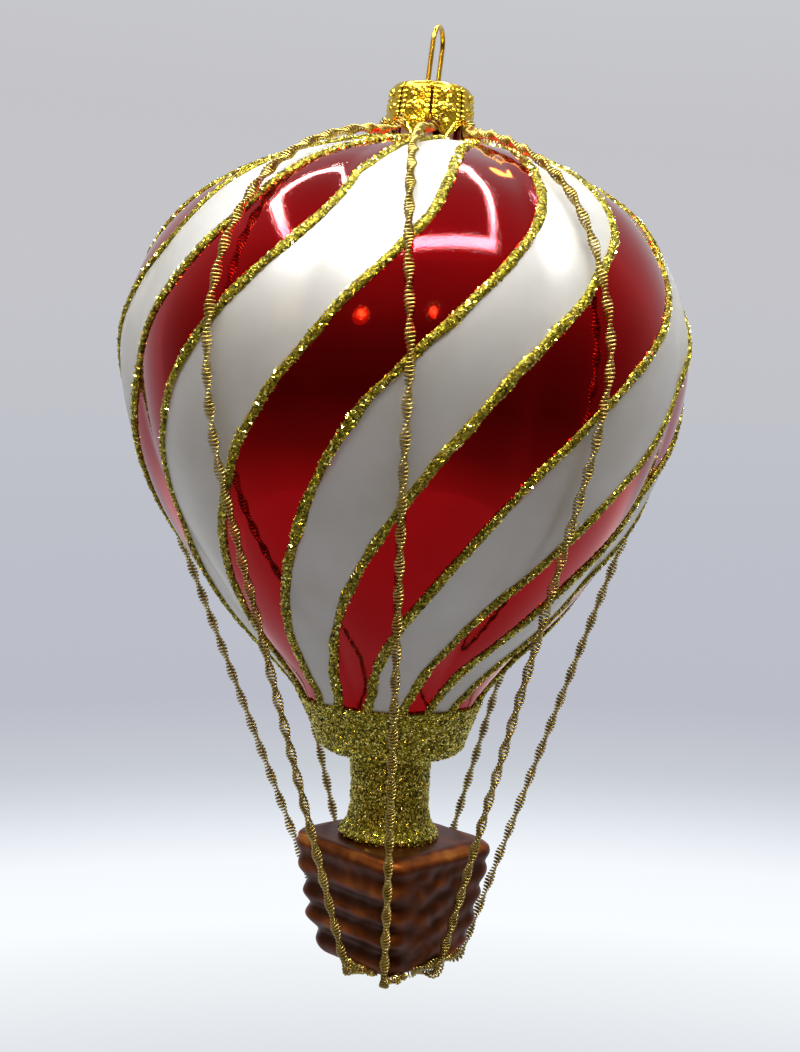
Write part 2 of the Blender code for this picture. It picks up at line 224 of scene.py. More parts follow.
# Columns: degrees from the first line at the shoulder, at the middle and at the mouth
LINE_SPACING = (
    (0.0, 0.0, 0.0),
    (20.0, 21.0, 15.0),
    (50.0, 44.0, 34.0),
    (77.0, 70.0, 54.0),
    (100.0, 92.0, 71.0),
    (122.0, 114.0, 88.0),
    (144.0, 136.0, 113.0),
    (165.0, 159.0, 140.0),
    (188.0, 184.0, 168.0),
    (208.0, 206.0, 193.0),
    (231.0, 230.0, 221.0),
    (251.0, 252.0, 245.0),
    (273.0, 276.0, 272.0),
    (294.0, 299.0, 298.0),
    (314.0, 318.0, 318.0),
    (336.0, 341.0, 339.0),
)
GLITTER_SIZE = 0.28  # from a flake's middle to its corners
GLITTER_PER_SQUARE_MM = 8.0
FLAKE_THICKNESS = 0.07
FLAKE_SCALES = (0.65, 1.3)
FLAKE_TILT = 1.0  # radians either way

# The crimped wire strands: each a coil pressed flat and then twisted
COIL_WIRE_RADIUS = 0.17
COIL_HALF_WIDTH = 0.68
COIL_HALF_THICKNESS = 0.3
COIL_PITCH = 0.58
COIL_HALF_TWIST = 4.6
COIL_STEPS = 12
STRAND_RADIUS = 0.6
STRAND_LIFT = 1.5
# Columns: radius, degrees aside and level of the bunched end over a notch between two petals
STRAND_BUNCH = ((7.0, 14.0, 3.4), (7.7, 12.0, 2.7), (7.6, 5.0, 1.6), (8.4, 1.0, 1.1))
STRAND_END_RADIUS = 2.7
STRAND_SETTLE = 35.0  # how far down the glass a strand reaches its second azimuth
STRAND_BEND = 1.5
STRAND_BEND_STOPS = (20.0, 45.0, 70.0)
STRAND_GAP = 0.3
STRAND_FREE_RADIUS = 9.5  # at which a strand comes out from its notch on to the glass
STRAND_FAN_RADIUS = 9.0  # from which it turns from the notch to its own azimuth
STRAND_FAN_REACH = 6.0
STRAND_LEAVES_BELOW = -45.0
# Columns: name, azimuth at the cap, on the glass and at the basket's lower edge
STRANDS = (
    ("front", -3.0, 1.0, -2.5),
    ("front_right", 35.0, 37.5, 51.0),
    ("right", 103.0, 103.0, 101.0),
    ("back_right", 136.0, 136.0, 150.0),
    ("back", 180.0, 180.0, 180.0),
    ("back_left", -142.0, -142.0, -152.0),
    ("left", -101.0, -101.0, -119.0),
    ("front_left", -37.0, -35.5, -41.0),
)

# Ends of coil left loose round the basket's lower edge. Columns: azimuth, level, distance from the edge
LOOSE_COILS = (
    ("left_edge", ((-46.0, -130.1, 0.5), (-36.0, -130.6, 0.5), (-24.0, -130.9, 0.4))),
    ("right_edge", ((84.0, -129.4, 0.7), (60.0, -130.0, 0.5), (35.0, -130.4, 0.4), (20.0, -130.8, 0.2))),
)
EDGE_HALF_DIAGONAL = 11.0
# Drops of glue and glitter along the same edge. Columns: azimuth, level, distance from the edge, size
GLUE_CLUMPS = (
    (-50.0, -130.2, 0.0, 0.75),
    (-42.0, -130.4, 0.1, 0.95),
    (-33.0, -130.6, 0.0, 0.8),
    (-24.0, -130.6, 0.1, 0.9),
    (-14.0, -130.7, 0.0, 0.7),
    (4.0, -131.2, -0.2, 0.95),
    (12.0, -131.0, 0.0, 0.7),
)
CLUMP_SEED = 31
CLUMP_LENGTH = 1.3
CLUMP_THICKNESS = 0.75
# The dab of glue under the basket
DAB_RADIUS = 2.4
DAB_HALF_THICKNESS = 0.85
DAB_DROP = 0.9
GLUE_UNEVENNESS = 0.5

# The camera, worked out from the photograph's perspective, in the glass's own frame
CAMERA_TARGET = Vector((-1.47, 0.0, -69.4))
CAMERA_DISTANCE = 250.0
CAMERA_PITCH_DEG = 4.3
CAMERA_ROLL_DEG = 3.0
CAMERA_LENS = 53.13

# The stage, turned round the ornament, and the lights, in metres
STAGE_FLOOR = -0.46
STAGE_RADIUS = 1.3
SWEEP_RADIUS = 0.8
WALL_RADIUS = STAGE_RADIUS + SWEEP_RADIUS
FLOOR_RADII = (0.0, 0.5, 0.9, 1.1, STAGE_RADIUS)
# Columns: height, radius of the wall and of the ceiling
WALL_ROWS = ((1.0, WALL_RADIUS), (2.4, WALL_RADIUS), (3.0, 1.2), (3.1, 0.0))
STAGE_SEGMENTS = 96
# Each a share of the way from the floor's middle to the wall, and its colour
FLOOR_COLOURS = (
    (0.0, "#b9bcc4"), (0.25, "#ccd0d8"), (0.45, "#fafdff"), (0.53, "#f6faff"), (0.61, "#dfe4ec"),
    (0.68, "#c9cdd4"), (0.76, "#bbbdc8"), (0.9, "#bdc0c9"), (1.0, "#c5c5ca"),
)
# Between these heights the floor's colours give way to the wall's
WALL_COLOUR_FROM = -0.1
WALL_COLOUR_TO = 0.8
# Each a share of the way from the one to the other, and its colour
WALL_COLOURS = ((0.0, "#c6c5ca"), (0.5, "#c3c3c7"), (1.0, "#d0d2d6"))
# Each a share of the way from the viewer's side to the back, and its colour
FLAG_SIDE_COLOURS = ((0.0, "#503e38"), (0.25, "#5c4c48"), (0.5, "#85807e"), (0.67, "#a8a8aa"))
# Each a share of the way from the floor to the lamps, and its colour
FLAG_RISE_COLOURS = (
    (0.0, "#a8a8a8"), (0.14, "#5c5c5c"), (0.3, "#1c1c1c"), (0.5, "#404040"), (0.7, "#6c6c6c"),
    (0.84, "#929292"), (1.0, "#b4b4b4"),
)
# The ring of lamp strips, hung three times so that each finish has its own brightness
LAMP_FRAME_HEIGHT = 0.17
LAMP_FRAME_STEP = 0.002
LAMP_STRIP_RADIANCE = 16.5
LAMP_GLARE_RADIANCE = 50.0  # as the metals mirror the strips
LAMP_GLARE_ON_GLASS = 120.0  # as the glass mirrors them
# Columns: where a strip starts, x and y, where it ends, x and y, and its width
LAMP_STRIPS = (
    (-0.05, -0.187, 0.133, -0.12, 0.036),
    (0.133, -0.12, 0.035, 0.1, 0.009),
    (0.035, 0.1, -0.079, 0.076, 0.01),
    (-0.079, 0.076, -0.147, 0.015, 0.011),
    (-0.147, 0.015, -0.149, -0.13, 0.018),
    (-0.149, -0.13, -0.05, -0.187, 0.034),
    (-0.091, -0.111, -0.05, -0.06, 0.012),
)
# The panel over the ring, which the mirrors don't see
PANEL_PLACE = Vector((0.0, -0.02, LAMP_FRAME_HEIGHT + 0.01))
PANEL_SIZE = (0.5, 0.3)
PANEL_RADIANCE = 1.2
# The flag, a part of a sphere that is open to the back
FLAG_RADIUS = 0.55
FLAG_MIDDLE = -0.05
FLAG_RISES = range(45, -49, -3)
FLAG_SEGMENTS = 72
FLAG_OPEN_DEG = 70.0
FLAG_COLOURS_TO = 0.34
WARM_COLOUR = "#ffc050"
WARM_LAMPS_FACE = Vector((0.0, 0.0, FLAG_MIDDLE))
WARM_LAMP_DISTANCE = 0.5
WARM_LAMP_STEP = 0.002  # by which each hangs nearer than the one before, so a core is over its halo
# Columns: azimuth, elevation, width and height in metres, radiance
WARM_LAMPS = (
    (-24.6, 17.9, 0.085, 0.1, 0.45),
    (-24.6, 18.7, 0.055, 0.06, 1.2),
    (-24.4, 19.1, 0.028, 0.022, 90.0),
    (8.2, 22.5, 0.022, 0.065, 1.6),
    (8.2, 22.9, 0.012, 0.035, 90.0),
    (158.0, 49.0, 0.03, 0.03, 12.0),
)


def read_table(rows, level):
    """Returns a table's second column at a level, on straight lines between its rows."""
    if level > rows[0][0]:
        return rows[0][1]
    for (high, at_high), (low, at_low) in zip(rows, rows[1:]):
        if level >= low:
            return at_high + (at_low - at_high) * (high - level) / (high - low)
    return rows[-1][1]


def smooth_rows(rows, steps):
    """Returns the rows with steps - 1 more between each two, on a Catmull-Rom curve through them."""
    points = [Vector(row) for row in rows]
    points = [2 * points[0] - points[1], *points, 2 * points[-1] - points[-2]]
    smooth = []
    for before, start, end, after in zip(points, points[1:], points[2:], points[3:]):
        for step in range(steps):
            t = step / steps
            smooth.append(
                start
                + 0.5 * t * (end - before)
                + t * t * (before - 2.5 * start + 2 * end - 0.5 * after)
                + 0.5 * t * t * t * (after - before + 3 * (start - end))
            )
    return smooth + [points[-2]]


def bearing(azimuth):
    """Returns the level direction at an azimuth."""
    return Vector((sin(radians(azimuth)), -cos(radians(azimuth)), 0.0))


def in_glass(radius, azimuth, level):
    """Returns a point round the glass's spine, in the row's frame."""
    middle = Vector((read_table(SPINE, level), 0.0, level - CAP_TOP_LEVEL))
    return PIVOT + GLASS_LEAN @ (middle + radius * bearing(azimuth))


def lobed(radius, azimuth):
    """Returns a crest radius cut back by the grooves between the lobes, which fade at the ends."""
    groove = 1.0 - hypot(cos(radians((azimuth - LOBE_TURN) * LOBES / 2)), CREASE_SOFTNESS)
    fade = min(1.0, max(0.0, (radius - LOBE_FADE_START) / LOBE_FADE_REACH))
    return radius - LOBE_DEPTH * fade * max(0.0, groove) ** LOBE_FLATNESS


def wavy(radius, azimuth, level):
    """Returns a radius with the slow unevenness of blown glass."""
    point = (radius * bearing(azimuth) + Vector((0.0, 0.0, level))) / WAVE_LENGTH
    around = RIBS_ROUND * bearing(azimuth) + Vector((0.0, 0.0, level / RIB_LENGTH))
    rise = WAVE_HEIGHT * noise.noise(point) + RIB_HEIGHT * noise.noise(around)
    return radius + min(1.0, radius / WAVE_FADE_RADIUS) * rise


OUTLINE = [row for row in smooth_rows(ENVELOPE_ROWS, ENVELOPE_STEPS) if row[0] < 0.0]
TURNS = smooth_rows(TWIST, TWIST_STEPS)


def outline_normals(rows):
    """Returns rows of level and the angle by which the skin's outward normal looks up."""
    normals = []
    for before, here, after in zip(rows, rows[1:], rows[2:]):
        along = after - before
        normals.append((here[0], atan2(along[1], -along[0])))
    return [(rows[0][0], normals[0][1]), *normals, (rows[-1][0], normals[-1][1])]


NORMALS = outline_normals(OUTLINE)


def line_azimuth(spacing, level):
    """Returns a glitter line's azimuth at a level, from its row of the spacing table."""
    return read_table(TURNS, level) + read_table(tuple(zip(SPACING_LEVELS, spacing)), level)


def linear(hex_colour):
    """Returns an sRGB hex colour as linear red, green, blue and alpha."""
    channels = [int(hex_colour[i : i + 2], 16) / 255 for i in (1, 3, 5)]
    return (*[c / 12.92 if c <= 0.04045 else ((c + 0.055) / 1.055) ** 2.4 for c in channels], 1.0)


def add_node(tree, kind, inputs=None, **settings):
    """Adds a node with its settings; an input given as a socket is linked, any other is set."""
    node = tree.nodes.new(kind)
    for name, value in settings.items():
        setattr(node, name, value)
    for name, value in (inputs or {}).items():
        if isinstance(value, bpy.types.NodeSocket):
            tree.links.new(value, node.inputs[name])
        else:
            node.inputs[name].default_value = value
    return node


def set_ramp(node, stops):
    """Gives a Color Ramp node its stops, each a position and a hex colour."""
    elements = node.color_ramp.elements
    while len(elements) < len(stops):
        elements.new(0.5)
    for element, (position, colour) in zip(elements, stops):
        element.position = position
        element.color = linear(colour)
    return node.outputs["Color"]


def new_material(name):
    """Returns a new material and its node tree, which holds the Principled shader."""
    material = bpy.data.materials.new(name)
    material.use_nodes = True
    return material, material.node_tree


def set_shader(material, **sockets):
    """Sets or links a material's Principled sockets, named with underscores, and returns it."""
    tree = material.node_tree
    shader = tree.nodes["Principled BSDF"]
    for name, value in sockets.items():
        socket = shader.inputs[name.replace("_", " ")]
        if isinstance(value, bpy.types.NodeSocket):
            tree.links.new(value, socket)
        else:
            socket.default_value = value
    return material


def mottled(tree, size, detail, stops):
    """Returns the colour of soft blotches of a size in millimetres, and how dense they are."""
    place = add_node(tree, "ShaderNodeTexCoord").outputs["Object"]
    blotches = add_node(
        tree, "ShaderNodeTexNoise", {"Vector": place, "Scale": 1 / (size * MM), "Detail": detail}
    ).outputs["Fac"]
    ramp = add_node(tree, "ShaderNodeValToRGB", {"Fac": blotches})
    return set_ramp(ramp, stops), blotches


def spread(tree, value, low, high, stops):
    """Returns the colours that a value takes on its way from low to high, and its share of the way."""
    share = add_node(
        tree, "ShaderNodeMapRange", {"Value": value, "From Min": low, "From Max": high}
    ).outputs[0]
    ramp = add_node(tree, "ShaderNodeValToRGB", {"Fac": share})
    return set_ramp(ramp, stops), share


def red_lacquer():
    """Clear red lacquer sprayed on silvered glass: a deep red mirror under a hard gloss."""
    material, tree = new_material("red_lacquer_on_silvered_glass")
    place = add_node(tree, "ShaderNodeTexCoord").outputs["Object"]
    colour, _ = mottled(tree, 18.0, 2.0, ((0.3, "#a00207"), (0.7, "#b00409")))
    grain = add_node(tree, "ShaderNodeTexNoise", {"Vector": place, "Scale": 1 / (0.35 * MM), "Detail": 1.0})
    bump = add_node(
        tree,
        "ShaderNodeBump",
        {"Height": grain.outputs["Fac"], "Strength": 0.5, "Distance": 0.035 * MM},
    )
    return set_shader(
        material,
        Base_Color=colour,
        Metallic=1.0,
        Roughness=0.05,
        Coat_Weight=0.11,
        Coat_Roughness=0.03,
        Coat_Normal=bump.outputs["Normal"],
    )


def white_lacquer():
    """Pearl white lacquer on silvered glass: satin, and pink where the red overran it."""
    material, tree = new_material("pearl_white_lacquer_on_silvered_glass")
    white, clouds = mottled(tree, 9.0, 3.0, ((0.3, "#cdcbc3"), (0.7, "#d7d6d1")))
    across = add_node(tree, "ShaderNodeUVMap", uv_map="stripe")
    split = add_node(tree, "ShaderNodeSeparateXYZ", {"Vector": across.outputs["UV"]})
    from_middle = add_node(tree, "ShaderNodeMath", {0: split.outputs["X"], 1: 0.5}, operation="SUBTRACT")
    to_edge = add_node(tree, "ShaderNodeMath", {0: from_middle.outputs[0]}, operation="ABSOLUTE")
    # The red reaches in from a stripe's edges, and further where the clouds are dense
    reach = add_node(
        tree, "ShaderNodeMath", {0: clouds, 1: 0.3, 2: to_edge.outputs[0]}, operation="MULTIPLY_ADD"
    )
    overspray = add_node(
        tree, "ShaderNodeMapRange", {"Value": reach.outputs[0], "From Min": 0.58, "From Max": 0.7}
    )
    pink = add_node(
        tree,
        "ShaderNodeMix",
        {"Factor": overspray.outputs[0], "A": white, "B": linear("#c98a86")},
        data_type="RGBA",
    )
    return set_shader(
        material,
        Base_Color=pink.outputs["Result"],
        Metallic=0.15,
        Roughness=0.3,
        Specular_IOR_Level=0.15,
    )


def glitter_glue():
    """Thick glue full of fine gold dust, which shows dark between the flakes."""
    material, tree = new_material("gold_dust_in_glue")
    place = add_node(tree, "ShaderNodeTexCoord").outputs["Object"]
    dust = add_node(tree, "ShaderNodeTexVoronoi", {"Vector": place, "Scale": 1 / (0.3 * MM)})
    tone = add_node(tree, "ShaderNodeSeparateXYZ", {"Vector": dust.outputs["Color"]})
    colour = add_node(tree, "ShaderNodeValToRGB", {"Fac": tone.outputs["X"]})
    bump = add_node(
        tree, "ShaderNodeBump", {"Height": dust.outputs["Distance"], "Strength": 0.8, "Distance": 0.1 * MM}
    )
    return set_shader(
        material,
        Base_Color=set_ramp(colour, ((0.0, "#2c2606"), (0.6, "#7c7218"), (1.0, "#b4aa3c"))),
        Metallic=0.7,
        Roughness=0.45,
        Specular_IOR_Level=0.2,
        Normal=bump.outputs["Normal"],
    )


def gold_flakes():
    """Cut metallised film flakes: each its own tone of gold, bright where one faces a lamp."""
    material, tree = new_material("gold_film_flakes")
    tint = add_node(tree, "ShaderNodeAttribute", attribute_name="tint")
    colour = add_node(tree, "ShaderNodeValToRGB", {"Fac": tint.outputs["Fac"]})
    stops = ((0.0, "#a09018"), (0.35, "#d8ca3a"), (0.7, "#f2e668"), (1.0, "#fff6a0"))
    return set_shader(material, Base_Color=set_ramp(colour, stops), Metallic=1.0, Roughness=0.2)


def brass_wire(name, light, dark, roughness):
    """Drawn brass wire, finely scored along and a little uneven in tone."""
    material, tree = new_material(name)
    colour, _ = mottled(tree, 2.5, 2.0, ((0.3, dark), (0.7, light)))
    return set_shader(material, Base_Color=colour, Metallic=1.0, Roughness=roughness)


def gold_tinplate():
    """Stamped tinplate with a gold lacquer: painted highlight on the relief and painted shade, brown, in the
    recesses.
    """
    material, tree = new_material("gold_lacquered_tinplate")
    # The relief attribute holds a tone with painted highlight on the raised relief and painted shade in the
    # recesses
    relief = add_node(tree, "ShaderNodeAttribute", attribute_name="relief")
    colour = add_node(tree, "ShaderNodeValToRGB", {"Fac": relief.outputs["Fac"]})
    return set_shader(
        material,
        Base_Color=set_ramp(colour, ((0.1, "#4a3606"), (0.45, "#c09a1e"), (0.75, "#f2d64a"))),
        Metallic=1.0,
        Roughness=0.2,
    )


def brown_lacquer():
    """Brown lacquer brushed over glass, in streaks, with painted shade in the hollows and painted highlight,
    amber, on the raised parts and the rim.
    """
    material, tree = new_material("brown_lacquer_on_glass")
    place = add_node(tree, "ShaderNodeTexCoord").outputs["Object"]
    relief = add_node(tree, "ShaderNodeAttribute", attribute_name="relief")
    streaks = add_node(tree, "ShaderNodeTexNoise", {"Vector": place, "Scale": 1 / (5 * MM), "Detail": 3.0})
    # Brush streaks times the relief attribute, which carries painted shade in the hollows and painted
    # highlight on the raised parts and the rim
    thin = add_node(
        tree, "ShaderNodeMath", {0: streaks.outputs["Fac"], 1: relief.outputs["Fac"]}, operation="MULTIPLY"
    )
    colour = add_node(tree, "ShaderNodeValToRGB", {"Fac": thin.outputs[0]})
    stops = ((0.1, "#301507"), (0.3, "#5a2a0e"), (0.5, "#96501c"), (0.75, "#cc8638"))
    return set_shader(
        material,
        Base_Color=set_ramp(colour, stops),
        Metallic=0.25,
        Roughness=0.34,
        Specular_Tint=linear("#d08040"),
    )


def amber_glue():
    """A drop of dried clear glue, yellowed and glossy."""
    material, tree = new_material("dried_clear_glue")
    colour, _ = mottled(tree, 1.2, 2.0, ((0.3, "#6b4a1e"), (0.7, "#a8803c")))
    return set_shader(material, Base_Color=colour, Roughness=0.15)


def place_key(point):
    """Returns one number for a point's place to a thousandth, level first, to sort by."""
    x, y, z = (round(1000.0 * value) for value in point)
    return (100000.0 * z + x) * 100000.0 + y


def turn_rows(rows, columns, closed=False):
    """Returns a bmesh of rows of level and radius turned once round the Z axis."""
    form = bmesh.new()
    chain = [form.verts.new((0.0, -radius, level)) for level, radius in rows]
    edges = [form.edges.new(pair) for pair in zip(chain, chain[1:])]
    if closed:
        edges.append(form.edges.new((chain[-1], chain[0])))
    bmesh.ops.spin(form, geom=chain + edges, axis=(0, 0, 1), angle=2 * pi, steps=columns, use_merge=True)
    bmesh.ops.remove_doubles(form, verts=form.verts, dist=MERGE_WITHIN)
    bmesh.ops.recalc_face_normals(form, faces=form.faces)
    # The operators leave an order that changes from run to run, and the flakes' places follow it
    form.verts.sort(key=lambda vert: place_key(vert.co))
    form.faces.sort(key=lambda face: place_key(face.calc_center_median()))
    return form


def inner_rows(rows, wall):
    """Returns the rows of a wall's inner side, in reverse."""
    points = [Vector(row) for row in rows]
    inner = []
    for before, here, after in zip([points[0], *points], points, [*points[1:], points[-1]]):
        along = (after - before).normalized()
        inner.append(here - wall * Vector((along[1], -along[0])))
    return inner[::-1]


def azimuth_of(point):
    """Returns the azimuth of a point about the Z axis, from 0 to 360 degrees."""
    return degrees(atan2(point.x, -point.y)) % 360.0


def add_piece(name, form, finishes, replaced):
    """Makes a form in millimetres a piece that rides on the ornament's body."""
    bmesh.ops.scale(form, vec=(MM, MM, MM), verts=form.verts)
    mesh = bpy.data.meshes.new(name)
    form.to_mesh(mesh)
    form.free()
    mesh.shade_smooth()
    mesh.set_sharp_from_angle(angle=radians(SHARP_FROM_DEG))
    return add_object(name, mesh, finishes, replaced)


def add_object(name, data, finishes, replaced, body="ornament"):
    """Adds an object with its materials on its body, and hides the imported parts it stands for."""
    for finish in finishes:
        data.materials.append(finish)
    piece = bpy.data.objects.new(name, data)
    bpy.context.collection.objects.link(piece)
    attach(piece, body)
    if replaced:
        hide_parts(*replaced)
    return piece


def scatter_group(flakes):
    """Returns the node group that strews tilted flakes, thin three-sided cones, over a surface."""
    tree = bpy.data.node_groups.new("strew_flakes", "GeometryNodeTree")
    for name, way, kind in (
        ("Geometry", "INPUT", "Geometry"),
        ("Seed", "INPUT", "Int"),
        ("Geometry", "OUTPUT", "Geometry"),
    ):
        tree.interface.new_socket(name, in_out=way, socket_type=f"NodeSocket{kind}")
    given = add_node(tree, "NodeGroupInput")
    seed = given.outputs["Seed"]
    flake = add_node(
        tree,
        "GeometryNodeMeshCone",
        {"Vertices": 3, "Radius Top": 0.0, "Radius Bottom": GLITTER_SIZE * MM, "Depth": FLAKE_THICKNESS * MM},
    )
    flat = add_node(
        tree, "GeometryNodeSetShadeSmooth", {"Geometry": flake.outputs["Mesh"], "Shade Smooth": False}
    )
    gilt = add_node(tree, "GeometryNodeSetMaterial", {"Geometry": flat.outputs[0], "Material": flakes})
    points = add_node(
        tree,
        "GeometryNodeDistributePointsOnFaces",
        {"Mesh": given.outputs["Geometry"], "Density": GLITTER_PER_SQUARE_MM / MM**2, "Seed": seed},
    )
    tilt = add_node(
        tree,
        "FunctionNodeRandomValue",
        {"Min": (-FLAKE_TILT, -FLAKE_TILT, 0.0), "Max": (FLAKE_TILT, FLAKE_TILT, 2 * pi), "Seed": seed},
        data_type="FLOAT_VECTOR",
    )
    turned = add_node(
        tree,
        "FunctionNodeRotateRotation",
        {"Rotation": points.outputs["Rotation"], "Rotate By": tilt.outputs[0]},
        rotation_space="LOCAL",
    )
    small, large = FLAKE_SCALES
    size = add_node(tree, "FunctionNodeRandomValue", {2: small, 3: large, "Seed": seed}, data_type="FLOAT")
    strewn = add_node(
        tree,
        "GeometryNodeInstanceOnPoints",
        {
            "Points": points.outputs["Points"],
            "Instance": gilt.outputs[0],
            "Rotation": turned.outputs[0],
            "Scale": size.outputs[1],
        },
    )
    tint = add_node(tree, "FunctionNodeRandomValue", {2: 0.0, 3: 1.0, "Seed": seed}, data_type="FLOAT")
    toned = add_node(
        tree,
        "GeometryNodeStoreNamedAttribute",
        {"Geometry": strewn.outputs[0], "Name": "tint", "Value": tint.outputs[1]},
        data_type="FLOAT",
        domain="INSTANCE",
    )
    real = add_node(tree, "GeometryNodeRealizeInstances", {"Geometry": toned.outputs[0]})
    joined = add_node(tree, "GeometryNodeJoinGeometry", {0: given.outputs["Geometry"]})
    tree.links.new(real.outputs[0], joined.inputs[0])
    add_node(tree, "NodeGroupOutput", {"Geometry": joined.outputs[0]})
    return tree


def strew_flakes(piece, group, seed):
    """Strews glitter flakes over a piece and keeps them in its mesh."""
    scatter = piece.modifiers.new("flakes", "NODES")
    scatter.node_group = group
    scatter["Socket_1"] = seed
    evaluated = piece.evaluated_get(bpy.context.evaluated_depsgraph_get())
    strewn = bpy.data.meshes.new_from_object(evaluated)
    strewn.name = piece.name
    piece.modifiers.clear()
    piece.data = strewn


def stripe_azimuth(across, level):
    """Returns the azimuth of a place across the stripes, in stripes from the first line."""
    stripe = int(across)
    start = line_azimuth(LINE_SPACING[stripe % STRIPES], level) + 360.0 * (stripe // STRIPES)
    end = line_azimuth(LINE_SPACING[(stripe + 1) % STRIPES], level) + 360.0 * ((stripe + 1) // STRIPES)
    return start + (end - start) * (across - stripe)


def add_envelope(white, red):
    """Adds the blown envelope, its mesh sheared so that the stripes' edges run along it."""
    rows = smooth_rows(ENVELOPE_ROWS, ENVELOPE_STEPS)
    form = turn_rows(rows + inner_rows(ENVELOPE_ROWS, GLASS_WALL), STRIPES * STRIPE_COLUMNS, closed=True)
    stripe_map = form.loops.layers.uv.new("stripe")
    places = {}
    for vert in form.verts:
        across = round(azimuth_of(vert.co) / 360.0 * STRIPES, 4) % STRIPES
        places[vert] = (across, vert.co.z, vert.co.xy.length)
    for face in form.faces:
        middle = azimuth_of(face.calc_center_median()) / 360.0 * STRIPES
        face.material_index = int(middle) % 2
        for loop in face.loops:
            across, level, _ = places[loop.vert]
            aside = (across - middle + STRIPES / 2) % STRIPES - STRIPES / 2 + middle - int(middle)
            loop[stripe_map].uv = (aside, 1.0 + level / STRIPE_MAP_LENGTH)
    for vert, (across, level, radius) in places.items():
        azimuth = stripe_azimuth(across, level)
        vert.co = in_glass(wavy(lobed(radius, azimuth), azimuth, level), azimuth, level)
    return add_piece(
        "glass_envelope_lacquered",
        form,
        (white, red),
        ("glass_envelope",),
    )


def tube_form(columns, rings):
    """Returns a bmesh of a closed cylinder 1 high, cut into rings, to be bent along a path."""
    form = bmesh.new()
    bmesh.ops.create_cone(form, cap_ends=True, segments=columns, radius1=1.0, radius2=1.0, depth=1.0)
    sides = [edge for edge in form.edges if abs(edge.verts[0].co.z - edge.verts[1].co.z) > 0.5]
    bmesh.ops.subdivide_edges(form, edges=sides, cuts=rings - 2, use_grid_fill=True)
    return form


def add_glitter_lines(glue, flakes_group):
    """Adds a raised, uneven line of glue and flakes along each edge between two stripes."""
    stations = [row for row in OUTLINE if row[1] > LINE_START_RADIUS]
    for number, spacing in enumerate(LINE_SPACING, start=1):
        form = tube_form(LINE_SIDES, len(stations))
        for vert in form.verts:
            index = round((vert.co.z + 0.5) * (len(stations) - 1))
            level, radius = stations[index]
            above = stations[max(index - 1, 0)]
            below = stations[min(index + 1, len(stations) - 1)]
            turned = line_azimuth(spacing, above[0]) - line_azimuth(spacing, below[0])
            slope = radius * radians(turned) / (above - below).length
            # Each line reads its own stretch of the noise
            swell = noise.noise(Vector((number * 7.3, 0.0, index / 3.0)))
            drift = noise.noise(Vector((number * 3.1, 5.0, index / 5.0)))
            aside = vert.co.x * LINE_HALF_WIDTH * (1.0 + LINE_SWELL * swell) + LINE_DRIFT * drift
            lift = vert.co.y * (LINE_HEIGHT if vert.co.y > 0.0 else LINE_SINK)
            azimuth = line_azimuth(spacing, level) + degrees(aside * hypot(1.0, slope) / radius)
            steep = read_table(NORMALS, level)
            reach = lobed(radius, azimuth) + lift * cos(steep)
            vert.co = in_glass(reach, azimuth, level + lift * sin(steep))
        bmesh.ops.recalc_face_normals(form, faces=form.faces)
        node = f"glitter_line_{number:02d}"
        line = add_piece(f"{node}_strewn", form, (glue,), (node,))
        strew_flakes(line, flakes_group, number)


def add_coated(name, node, rows, glue, flakes_group, seed):
    """Adds a turned glass form under a rough coat of glue and flakes."""
    smooth = smooth_rows(rows, COATED_STEPS)
    form = turn_rows(smooth + inner_rows(rows, GLASS_WALL), ROUND_SEGMENTS, closed=True)
    for vert in form.verts:
        azimuth = azimuth_of(vert.co)
        swell = COAT_ROUGHNESS * noise.noise(vert.co / COAT_GRAIN)
        vert.co = in_glass(vert.co.xy.length + swell, azimuth, vert.co.z)
    coated = add_piece(name, form, (glue,), (node,))
    strew_flakes(coated, flakes_group, seed)


def square_reach(azimuth, half_diagonal):
    """Returns how far a rounded square with its corners on the axes reaches at an azimuth."""
    radius = min(BASKET_CORNER_RADIUS, half_diagonal)
    centre = half_diagonal - radius
    aside = radians(abs((azimuth + 45.0) % 90.0 - 45.0))
    corner_end = atan2(radius * sin(pi / 4), centre + radius * cos(pi / 4))
    if aside <= corner_end:
        return centre * cos(aside) + sqrt(max(0.0, radius**2 - (centre * sin(aside)) ** 2))
    return (centre * cos(pi / 4) + radius) / cos(pi / 4 - aside)


def basket_relief(azimuth, level, half_diagonal):
    """Returns the half diagonal and the relief of the basket's side: rolls or weave, by its face."""
    taper = read_table(BASKET_TAPER, level)
    rolled = half_diagonal - taper
    # Woven: the face on the viewer's right, to a little past its corner, and the one opposite
    face = azimuth % 360.0 / 90.0
    front = min(4.0 * face, 5.0 - 4.0 * face)
    back = min(4.0 * (face - 2.0), 4.0 * (3.0 - face))
    woven_share = min(1.0, max(0.0, front, back))
    depth_share = min(1.0, max(0.0, (WEAVE_TOP_LEVEL - level) / WEAVE_FADE))
    along = (azimuth % 90.0 - 45.0) / 45.0 * WEAVE_HALF_WIDTH
    uneven = noise.noise(2.2 * bearing(azimuth) + Vector((0.0, 0.0, level / 4.0)))
    woven = WEAVE_DEPTH * cos(2 * pi * (level + 1.2 * uneven) / ROLL_PITCH)
    woven *= cos(pi * (along + 2.0 * uneven) / WEAVE_COLUMN)
    share = woven_share * depth_share
    relief = rolled * (1.0 - share) + woven * share
    return taper + relief, relief


